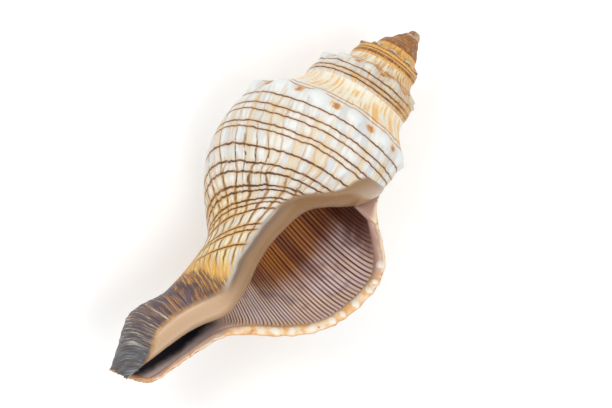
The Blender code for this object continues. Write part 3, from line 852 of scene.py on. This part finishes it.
def outside_finish():
    """White with brown lines round it, gold to dark brown down the neck, tan enamel beside the mouth."""
    f = Finish("shell_outside")
    turn, level = f.mark("growth", 1, 100)
    drop, beside = f.mark("place", 100, 10)
    knob, between = f.mark("relief", 1, 1)
    cloud = f.grain(0.09, 3)
    wobble = f.less(f.grain(0.22, 2), 0.5)
    spot = f.grain(0.5, 3)
    side = f.band(turn, 0.3, 0.42, 0.62, 0.78)

    # Growth runs a little aslant, so its streaks do too
    down = f.sum("MAXIMUM", f.less(drop, 84), 0.0)
    aslant = f.less(f.less(turn, (f.less(drop, 60), VEIN_LEAN)), f.times(down, down, NECK_LEAN))
    growth = f.add(aslant, (wobble, 0.008))
    fine_streak = f.streaks((growth, 150), (level, 0.09), 0, 3, 0.6)
    broad_streak = f.streaks((growth, 50), (level, 0.04), 0, 2)
    other_streak = f.streaks((growth, 38), (level, 0.03), 8.0, 2)

    # Ground: white, with cool, grey and beige bars along the growth
    low = f.step(level, 62, 74)
    f.colour = f.blend(f.step(broad_streak, 0.44, 0.6), WHITE, COOL_WHITE)
    f.lay(BEIGE, f.step(other_streak, 0.48, 0.62), low, 0.85)
    f.lay(GREY_BAR, f.step(broad_streak, 0.42, 0.3), low, 0.5)
    f.lay(TAN_STREAK, f.step(fine_streak, 0.5, 0.68), 0.55)

    # Gold streaks on the ramp above the knobs
    ramp = f.band(level, 42, 45.5, 53, 60)
    ramp_streak = f.streaks((f.add(aslant, (wobble, 0.003)), 125), (level, 0.05), 5.0, 3, 0.6)
    flames = f.times(f.step(ramp_streak, 0.45, 0.57), f.step(f.grain(0.25, 1), 0.3, 0.55))
    f.lay(CREAM, ramp, 0.6)
    f.lay(FLAME, f.step(turn, 1.0, 1.3), f.step(fine_streak, 0.5, 0.62), f.step(spot, 0.42, 0.6), 0.7)
    f.lay(f.blend(f.step(turn, 1.2, 0.9), GOLD, FLAME), flames, ramp, 0.9)

    # Gold and amber come in down the neck
    neckward = f.step(f.add(drop, (side, 4)), 76, 88)
    f.lay(NECK_PALE, neckward, f.step(broad_streak, 0.66, 0.4), 0.9)
    golden = f.times(f.step(f.add(drop, (wobble, 10)), 86, 99), f.step(broad_streak, 0.62, 0.48))
    f.lay(PALE_GOLD, golden, 0.8)
    golden = f.times(f.step(f.add(drop, (wobble, 8)), 93, 102), f.step(fine_streak, 0.44, 0.58))
    f.lay(GOLD, golden, 0.9)

    # Veins along the growth, strong on the side and towards the neck
    count = f.add((growth, VEINS_PER_TURN), f.sway(cloud, 1.4))
    each = f.node("ShaderNodeTexWhiteNoise", noise_dimensions="1D")
    f.feed(each.inputs["W"], f.sum("FLOOR", count))
    place = f.sum("ABSOLUTE", f.less(f.sum("FRACT", count), 0.5))
    crowd = f.add((f.step(f.add(level, (side, 14)), 76, 96), 0.8), (f.step(level, 58, 66), 0.22))
    chance = f.sum("MINIMUM", f.add(crowd, f.sway(cloud, 0.6)), 1.0)
    present = f.step(f.less(f.add(chance, 0.1), each.outputs["Value"]), 0.0, 0.3)
    present = f.times(present, f.less(1.0, (f.step(level, 96, 106), 0.75)))
    veins = f.times(f.step(f.less(place, (neckward, 0.05)), 0.12, 0.04), present)
    f.lay(GOLD, f.step(place, 0.34, 0.1), present, f.add(0.12, (neckward, 0.4)))
    f.lay(GOLD, veins, f.add(0.35, (neckward, 0.3)))
    bold = f.step(f.less(each.outputs["Value"], f.add((side, 0.34), (neckward, 0.62))), 0.3, 0.12)
    bold = f.times(bold, f.add(0.15, (f.step(level, 82, 96), 0.85)), f.step(level, 154, 138))
    vein_colour = f.blend(f.sum("MAXIMUM", side, neckward), VEIN_BROWN, LINE_DARK)
    f.lay(vein_colour, veins, bold, f.step(spot, 0.3, 0.5), 0.9)

    neck_count = f.add((growth, NECK_VEINS_PER_TURN), f.sway(cloud, 1.8))
    neck_place = f.sum("ABSOLUTE", f.less(f.sum("FRACT", neck_count), 0.5))
    broken = f.add(0.7, (f.step(cloud, 0.4, 0.6), 0.3))
    reach = f.band(level, 93, 104, 142, 156)
    neck_place = f.sum("DIVIDE", neck_place, f.add(0.35, (f.step(level, 92, 114), 0.65)))
    f.lay(GOLD, f.step(neck_place, 0.32, 0.1), reach, 0.5)
    neck_veins = f.times(f.step(neck_place, 0.15, 0.07), reach, broken)
    f.lay(f.blend(f.step(spot, 0.35, 0.55), LINE_BROWN, LINE_DARK), neck_veins, 0.92)

    # Lines round the whorls
    drift = f.add((side, 2.5), (f.step(turn, 0.95, 1.3), -2.0))
    kink = f.less(f.streaks((growth, 60), (level, 0.2), 0, 1), 0.5)
    waved = f.times(f.less(knob, between), f.step(turn, 1.0, 1.2), 0.9)
    running = f.less(f.add(level, waved, (wobble, 0.8), (kink, 1.3)), drift)
    size = f.sum("POWER", DROP_RATIO, (turn, -1.0))
    thicker = f.add(1.0, (f.step(turn, 1.8, 2.8), 1.6), (f.band(turn, 0.9, 1.05, 1.6, 1.9), -0.25))
    near = None
    for at, width in SPIRAL_LINES:
        away = f.sum("DIVIDE", f.sum("ABSOLUTE", f.less(running, at)), width)
        near = away if near is None else f.sum("MINIMUM", near, away)
    near = f.add(f.sum("DIVIDE", (near, size), thicker), f.sway(spot, 0.6))
    pale = f.add(0.8, (f.step(level, 58, 62), 0.2))
    lines = f.times(f.step(near, 1.3, 0.4), f.step(knob, 0.85, 0.55), pale)
    fringe = f.add(0.3, (neckward, 0.5), (f.step(turn, 1.0, 1.2), 0.3))
    f.lay(GOLD, f.step(near, 4.5, 1.0), f.step(level, 60, 70), fringe)
    lines = f.times(lines, f.add(0.78, (f.step(spot, 0.35, 0.55), 0.22)))
    tone = f.times(f.step(f.add(level, (turn, 25)), 96, 114), f.step(f.add(spot, veins), 0.3, 0.7))
    line_colour = f.blend(f.step(level, 61, 58), f.blend(tone, LINE_BROWN, LINE_DARK), AMBER)
    f.lay(line_colour, lines)

    # Knobs are bare white, with brown patches between them
    f.lay(WHITE, f.step(knob, 0.45, 0.8))
    uneven = f.sway(spot, 0.5)
    f.lay(FLAME, f.step(f.add(between, uneven), 0.6, 0.95), 0.6)
    f.lay(AMBER, f.step(f.add(between, uneven), 0.78, 0.98), 0.9)

    # Older whorls are gold with thin dark bands, then brown and grainy, and white again at the worn tip
    old = f.step(f.add(turn, (wobble, 0.5)), 1.35, 2.1)
    spire = f.blend(f.step(ramp_streak, 0.4, 0.62), PALE_GOLD, SPIRE_GOLD)
    f.lay(spire, old, 0.6, way="MULTIPLY")
    golden = f.times(f.step(f.add(turn, (wobble, 0.3)), 1.8, 2.05), f.step(knob, 0.5, 0.2))
    f.lay(f.blend(f.step(ramp_streak, 0.42, 0.6), WARM_GOLD, SPIRE_GOLD), golden, 0.85)
    banded = f.step(turn, 2.1, 2.5)
    f.lay(FLAME, f.band(level, 60, 63, 73, 76), banded, 0.7)
    thin = f.sum("MAXIMUM", f.band(running, 60.2, 61.2, 62.2, 63.4), f.band(running, 66.2, 67.2, 68.4, 69.6))
    thin = f.sum("MAXIMUM", thin, f.band(running, 70.0, 71.2, 74, 76))
    f.lay(SPIRE_BROWN, thin, banded, f.add(0.55, (f.step(fine_streak, 0.62, 0.42), 0.4)))
    grains = f.grain(1.1, 3, 0.7)
    grainy = f.blend(f.step(grains, 0.56, 0.68), AMBER, SPIRE_GOLD)
    grainy = f.blend(f.step(grains, 0.42, 0.6), SPIRE_BROWN, grainy)
    aged = f.step(f.add(turn, f.sway(grains, 1.2)), 2.9, 3.8)
    f.lay(grainy, aged, 0.85)
    f.lay(WORN_TIP, f.step(f.add(turn, (wobble, 2.5)), 5.55, 5.95), 0.8)

    # The canal's outside: growth ridges that fan out to the tip, plum and brown with orange, grey at the end
    slope = f.node("ShaderNodeMapRange", (drop, *RIDGE_SLOPE_DROPS, *RIDGE_SLOPES))
    from_back = f.less(turn, 0.5)
    arc = f.times(f.sum("SQRT", f.add((from_back, from_back), RIDGE_ROUND)), RIDGE_ARC)
    ridge_at = f.less(drop, (arc, slope.outputs[0]))
    bent = f.add(ridge_at, (wobble, 1.6))
    lamella = f.streaks((bent, 1.6), (turn, 5), 0, 3, 0.7)
    broad_ridge = f.streaks((bent, 0.3), (turn, 6), 4.0, 2)
    wide_streak = f.streaks((growth, 26), (level, 0.03), 2.0, 1)
    ragged_drop = f.add(drop, (arc, 0.33), (wobble, 5), f.sway(fine_streak, 3))
    ragged_drop = f.add(ragged_drop, f.sway(wide_streak, 5))
    canal = f.step(ragged_drop, 109.5, 112.5)
    f.lay(GOLD, f.step(ragged_drop, 98, 103.5), f.step(fine_streak, 0.36, 0.5), 0.85)
    f.lay(AMBER, f.step(ragged_drop, 103.5, 108), 0.6)
    skin = f.blend(f.step(broad_ridge, 0.42, 0.58), CANAL_PLUM, CANAL_BROWN)
    skin = f.blend((f.step(f.add(drop, f.sway(cloud, 14)), 121, 133), 0.8), skin, TIP_GREY)
    warm = f.times(f.step(f.add(broad_ridge, f.sway(spot, 0.5)), 0.5, 0.62), f.step(drop, 121, 108))
    skin = f.blend((warm, 0.9), skin, CANAL_ORANGE)
    skin = f.blend((f.step(lamella, 0.52, 0.43), 0.85), skin, DARK_BAND)
    hair = f.blend(f.step(drop, 126, 136), f.blend(f.step(drop, 117, 108), OLIVE_TAN, CANAL_ORANGE), TIP_PALE)
    bare = f.add(0.45, (f.step(drop, 112, 119), 0.5))
    skin = f.blend((f.step(lamella, 0.55, 0.66), bare), skin, hair)
    f.lay(skin, canal)
    f.lay(DARK_BAND, f.band(ragged_drop, 104, 107, 111, 116), f.step(lamella, 0.58, 0.47), 0.85)

    # Enamel beside the mouth, with a clear margin and a grey line inside it
    beside = f.less(beside, (f.step(drop, 124, 136), 3))
    on = f.step(f.add(beside, (wobble, 0.8)), -0.8, 0.8)
    enamel_colour = f.blend(f.step(beside, 3, 8), ENAMEL_TAN, ENAMEL_PALE)
    enamel_colour = f.blend(f.step(turn, 0.99, 1.12), enamel_colour, ENAMEL_DEEP)
    enamel_colour = f.blend((f.step(cloud, 0.42, 0.6), 0.3), enamel_colour, ENAMEL_TAN)
    margin = f.blend((f.band(drop, 70, 84, 98, 104), 0.7), enamel_colour, ENAMEL_MARGIN)
    enamel_colour = f.blend((f.step(drop, 92, 108), 0.8), enamel_colour, ENAMEL_PEACH)
    covering = f.blend(f.step(f.add(beside, wobble), 0.2, 2.0), margin, enamel_colour)
    grey = f.times(f.band(f.add(beside, wobble), 0.7, 1.4, 1.9, 3.4), f.band(drop, 60, 78, 96, 103))
    covering = f.blend((grey, 0.75), covering, ENAMEL_LINE)
    rusty = f.times(f.step(drop, 108, 114), f.step(beside, 1.6, 0.2), f.step(spot, 0.36, 0.56))
    covering = f.blend((rusty, 0.7), covering, GOLD)
    # Painted shadow: the enamel darkens to near black where it turns into the canal's slit
    slit = f.times(f.step(turn, 0.97, 1.0), f.step(drop, 104, 111))
    covering = f.blend((slit, 0.85), covering, CANAL_SLIT_SHADE)
    f.lay(covering, on)

    # Fine relief: growth threads, raised lines, ridges down the canal
    off = f.less(1.0, on)
    cross = f.streaks((turn, 6), (level, 1.3), 0, 2)
    height = f.add(f.times(fine_streak, off, 0.7), f.times(cross, off, 0.4), f.times(lines, 0.35, off))
    height = f.add(height, f.times(lamella, canal, off, 2.0), f.times(spot, f.step(turn, 2, 4), 1.2))
    normal = f.relief(height, 0.3, 0.9)
    roughness = f.add(0.42, (spot, 0.18), (on, -0.26))
    return f.done(roughness, normal, (on, 0.35))


def lining_finish():
    """Lilac and orange-brown, with dark ribs. Painted shade darkens it deep inside, turns its edge mauve near
    the top corner and makes the canal's slit nearly black.
    """
    f = Finish("mouth_lining")
    turn, level = f.mark("growth", 1, 100)
    drop, inside = f.mark("place", 100, 10)
    ribs = f.mark("relief", 100)[0]
    cloud = f.grain(0.07, 2)
    wobble = f.less(f.grain(0.22, 2), 0.5)
    spot = f.grain(0.6, 2)
    streak = f.streaks((ribs, 0.42), (turn, 2.2), 0, 3)
    f.colour = f.blend(f.step(cloud, 0.4, 0.6), LINING_LILAC, LINING_PINK)

    # Deeper in it is orange-brown, in streaks along the ribs, with purple clouds where it starts. Further in,
    # painted shade darkens it to deep brown
    deep = f.step(f.add(inside, f.sway(cloud, 18), f.sway(streak, 16)), 17, 33)
    f.lay(f.blend(f.step(streak, 0.4, 0.62), LINING_BROWN, LINING_DEEP_BROWN_AND_SHADE), deep, 0.9)
    # Painted shade: darker brown from about 36 mm inside the mouth
    f.lay(LINING_DEEP_BROWN_AND_SHADE, f.step(inside, 36, 54), 0.7)
    f.lay(LINING_PURPLE, f.step(f.grain(0.16, 1), 0.54, 0.66), f.band(inside, 9, 15, 24, 34), 0.35)
    f.lay(LINING_TOP, f.step(f.add(level, (wobble, 6)), 65, 56), 0.9)

    # The ribs are brown on their crests
    wave = f.sum("COSINE", (ribs, TURN))
    started = f.step(f.add(inside, (wobble, 3)), 0.9, 2.4)
    rib = f.times(f.step(wave, 0.05, 0.75), started, f.step(level, 112, 107))
    uneven = f.add(0.88, (f.sum("COSINE", (ribs, TURN / 2)), 0.12), f.sway(streak, 0.9))
    f.lay(RIB_BROWN, rib, f.sum("MINIMUM", uneven, 1.0))
    # An edge band along the lip: tan lower down, and painted mauve shade near the top corner
    reach = f.add(1.2, (f.step(drop, 112, 100), 2.0))
    edge = f.step(f.sum("DIVIDE", f.add(inside, (wobble, 2)), reach), 1.0, 0.4)
    edge = f.times(edge, f.less(1.0, (rib, 0.6)))
    f.lay(f.blend(f.step(drop, 84, 72), LIP_TAN, LIP_MAUVE_SHADE), edge, 0.85)

    # Down the canal it fades from lilac at the lip to mauve, and painted shade takes it to nearly black
    # deeper in the slit
    dark = f.step(f.add(inside, (wobble, 3), (f.step(drop, 108, 128), 2.6)), 5.2, 9.0)
    canal_colour_and_shade = f.blend(dark, f.blend(f.step(inside, 2, 7.5), LINING_LILAC, CANAL_MAUVE), CANAL_SLIT_SHADE)
    f.lay(canal_colour_and_shade, f.step(drop, 103, 109), f.step(inside, 0.9, 2.0))
    f.lay(TIP_PALE, f.step(f.add(drop, (wobble, 3)), 132.5, 135.5), f.step(spot, 0.45, 0.6), 0.7)
    normal = f.relief(f.grain(0.9, 3), 0.08, 0.5)
    return f.done(0.34, normal, 0.25)


def lip_finish():
    """Cream and orange-tan, with white spots where the edge waves out, and painted mauve shade near the top
    corner.
    """
    f = Finish("lip_edge")
    drop, across = f.mark("place", 100, 1)
    scallop = f.mark("relief", 1)[0]
    cloud = f.grain(0.3, 3)
    speck = f.grain(0.8, 2)
    f.colour = f.blend(f.step(cloud, 0.4, 0.6), LIP_TAN, LIP_CREAM)
    # Painted shade: mauve over the inner part of the rim near the top corner
    f.lay(f.blend(f.step(across, 0.12, 0.45), LIP_CREAM, LIP_MAUVE_SHADE), f.step(drop, 72, 60), 0.9)
    middle = f.sum("ABSOLUTE", f.less(across, 0.5))
    round_spot = f.less(f.add(scallop, f.sway(cloud, 1.4)), f.times(middle, middle, 7))
    f.lay(LIP_WHITE, f.step(round_spot, -0.3, 0.5), f.band(drop, 56, 64, 101, 108), 0.85)
    brown = f.times(f.step(speck, 0.55, 0.66), f.step(f.add(scallop, (across, 1.2)), 0.5, -0.1))
    f.lay(LIP_BROWN, brown, 0.85)
    f.lay(LIP_BROWN, f.step(across, 0.1, 0.02), 0.6)
    down = f.times(f.step(drop, 105, 111), f.step(f.add(across, f.sway(cloud, 0.6)), 0.2, 0.42))
    f.lay(CANAL_RIM, down, 0.85)
    f.lay(LIP_BROWN, f.step(drop, 108, 114), f.step(speck, 0.56, 0.66), 0.8)
    normal = f.relief(f.grain(1.2, 3), 0.12, 0.6)
    return f.done(0.38, normal, 0.25)


def lay_floor():
    bpy.ops.mesh.primitive_plane_add(size=FLOOR_SIZE)
    floor = bpy.context.object
    floor.name = "floor"
    material = bpy.data.materials.new("floor_white")
    material.use_nodes = True
    surface = material.node_tree.nodes["Principled BSDF"]
    surface.inputs["Base Color"].default_value = (0.97, 0.97, 0.97, 1)
    surface.inputs["Roughness"].default_value = 0.9
    surface.inputs["Specular IOR Level"].default_value = 0.1
    floor.data.materials.append(material)


def hang_light(name, place, size, power):
    light = bpy.data.lights.new(name, "AREA")
    light.shape = "DISK"
    light.size = size
    light.energy = power
    lamp = bpy.data.objects.new(name, light)
    lamp.location = place
    lamp.rotation_euler = (-place).to_track_quat("-Z", "Y").to_euler()
    bpy.context.scene.collection.objects.link(lamp)


def light_studio():
    bpy.context.scene.view_settings.view_transform = "Standard"
    world = bpy.data.worlds.new("studio")
    world.use_nodes = True
    sky = world.node_tree.nodes["Background"]
    sky.inputs["Color"].default_value = (1, 1, 1, 1)
    sky.inputs["Strength"].default_value = WORLD_LIGHT
    bpy.context.scene.world = world
    hang_light("key", PHOTO_TOWARD * 1.3 + PHOTO_UP * 0.45 - PHOTO_RIGHT * 0.5, 0.7, KEY_POWER)
    hang_light("fill", PHOTO_TOWARD * 1.25 - PHOTO_UP * 0.35 + PHOTO_RIGHT * 0.55, 0.9, FILL_POWER)


def aim_camera():
    camera_data = bpy.data.cameras.new("camera")
    camera_data.sensor_fit = "HORIZONTAL"
    camera_data.sensor_width = SENSOR_WIDTH
    camera_data.lens = SENSOR_WIDTH * CAMERA_DISTANCE / (PHOTO_WIDTH * PHOTO_MM_PER_PIXEL)
    camera_data.clip_start = 0.01
    camera_data.clip_end = 20
    camera = bpy.data.objects.new("camera", camera_data)
    aim = LIE.to_3x3() @ PHOTO_AIM - LIE_MIDDLE
    place = (aim + PHOTO_TOWARD * CAMERA_DISTANCE) * MM
    turned = Matrix((PHOTO_RIGHT, PHOTO_UP, PHOTO_TOWARD)).transposed().to_4x4()
    camera.matrix_world = Matrix.Translation(place) @ turned
    bpy.context.scene.collection.objects.link(camera)
    bpy.context.scene.camera = camera


aim_camera()
light_studio()
lay_floor()
conch = make_shell(outside_finish(), lining_finish(), lip_finish())
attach(conch, "root")
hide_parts("shell")
print("triangles", sum(len(p.vertices) - 2 for p in conch.data.polygons))
